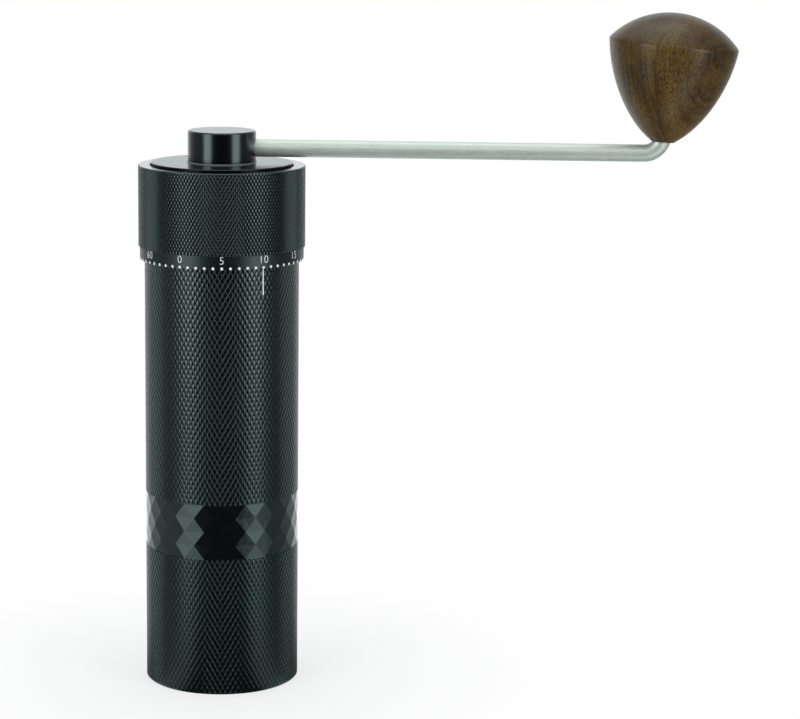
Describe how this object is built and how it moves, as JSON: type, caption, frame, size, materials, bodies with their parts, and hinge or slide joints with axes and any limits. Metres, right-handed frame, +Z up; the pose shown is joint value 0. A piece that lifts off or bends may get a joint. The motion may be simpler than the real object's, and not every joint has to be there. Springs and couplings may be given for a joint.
{
  "type": "hand crank coffee grinder",
  "caption": "Slim knurled hand coffee grinder with a turning click dial, conical burrs, lift-off crank with wooden knob, and screwed-on catch cup.",
  "frame": {"origin": "centre of the flat base under the catch cup", "axes": "+Z up along the grinder's axis, +X along the crank arm, +Y to the back"},
  "size_m": [0.2066, 0.058, 0.2376],
  "materials": {
    "black_anodised": "black anodised, fine satin, knurled where gripped",
    "grey_anodised": "clear anodised, turned",
    "burr_steel": "hardened and ground",
    "satin_steel": "satin stainless",
    "spring_steel": "dark spring steel",
    "bearing_steel": "polished",
    "brass": "turned",
    "white_plastic": "low-friction plastic",
    "black_rubber": "matt",
    "walnut": "oiled walnut, turned"
  },
  "bodies": {
    "body": {"body_tube": "black_anodised", "outer_burr": "burr_steel", "burr_pins": "satin_steel", "burr_retaining_ring": "grey_anodised", "lower_bearing_frame": "grey_anodised", "frame_circlip": "spring_steel", "lower_bearing_outer_ring": "bearing_steel", "lower_bearing_shields": "bearing_steel", "lower_bearing_circlip": "spring_steel"},
    "lower_race": {"lower_bearing_inner_ring": "bearing_steel"},
    "lower_balls": {"lower_bearing_balls": "bearing_steel", "lower_bearing_cage": "brass"},
    "bridge": {"bearing_bridge": "grey_anodised", "click_springs": "spring_steel", "click_balls": "bearing_steel", "upper_bearing_outer_ring": "bearing_steel", "upper_bearing_shields": "bearing_steel", "upper_bearing_circlip": "spring_steel"},
    "upper_balls": {"upper_bearing_balls": "bearing_steel", "upper_bearing_cage": "brass"},
    "dial": {"adjustment_dial": "black_anodised", "dial_thread_ring": "brass", "click_plate": "satin_steel", "slide_washer": "white_plastic"},
    "shaft": {"drive_shaft": "satin_steel", "upper_bearing_inner_ring": "bearing_steel", "shaft_circlip": "spring_steel", "cone_burr": "burr_steel", "burr_washer": "satin_steel", "burr_nut": "satin_steel"},
    "crank": {"crank_hub": "black_anodised", "drive_socket": "satin_steel", "crank_arm": "satin_steel", "arm_pin": "satin_steel", "lid_circlip": "spring_steel", "knob_circlip": "spring_steel"},
    "lid": {"lid_plate": "black_anodised", "lid_bush": "white_plastic", "lid_seal": "black_rubber"},
    "knob": {"crank_knob": "walnut", "knob_sleeve": "brass"},
    "cup": {"catch_cup": "black_anodised"}
  },
  "joints": [
    {"name": "bridge_lift", "type": "slide", "parent": "body", "child": "bridge", "axis": [0, 0, -1], "range_m": [-0.00017, 0.00383]},
    {"name": "dial_turn", "type": "hinge", "parent": "bridge", "child": "dial", "pos_m": [0, 0, 0.1668], "axis": [0, 0, -1], "range_deg": [-60, 1380]},
    {"name": "crank_turn", "type": "hinge", "parent": "bridge", "child": "shaft", "pos_m": [0, 0, 0.168], "axis": [0, 0, -1], "continuous": true},
    {"name": "upper_ball_roll", "type": "hinge", "parent": "bridge", "child": "upper_balls", "pos_m": [0, 0, 0.168], "axis": [0, 0, -1], "continuous": true},
    {"name": "lower_race_turn", "type": "hinge", "parent": "body", "child": "lower_race", "pos_m": [0, 0, 0.0902], "axis": [0, 0, -1], "continuous": true},
    {"name": "lower_ball_roll", "type": "hinge", "parent": "body", "child": "lower_balls", "pos_m": [0, 0, 0.0902], "axis": [0, 0, -1], "continuous": true},
    {"name": "crank_lift", "type": "slide", "parent": "shaft", "child": "crank", "axis": [0, 0, 1], "range_m": [0, 0.045]},
    {"name": "lid_turn", "type": "hinge", "parent": "crank", "child": "lid", "pos_m": [0, 0, 0.183], "axis": [0, 0, -1], "continuous": true},
    {"name": "knob_spin", "type": "hinge", "parent": "crank", "child": "knob", "pos_m": [0.1519, 0, 0.18903], "axis": [0.0906, 0, 0.9959], "continuous": true},
    {"name": "cup_off", "type": "slide", "parent": "body", "child": "cup", "axis": [0, 0, -1], "range_m": [0, 0.045]}
  ],
  "couplings": [
    {"joint": "dial_turn", "follows": "bridge_lift", "rad_per_m": 6283.2},
    {"joint": "upper_ball_roll", "follows": "crank_turn", "ratio": 0.41667},
    {"joint": "lower_race_turn", "follows": "crank_turn", "ratio": 1},
    {"joint": "lower_ball_roll", "follows": "crank_turn", "ratio": 0.41667},
    {"joint": "lid_turn", "follows": "crank_turn", "ratio": -1}
  ]
}
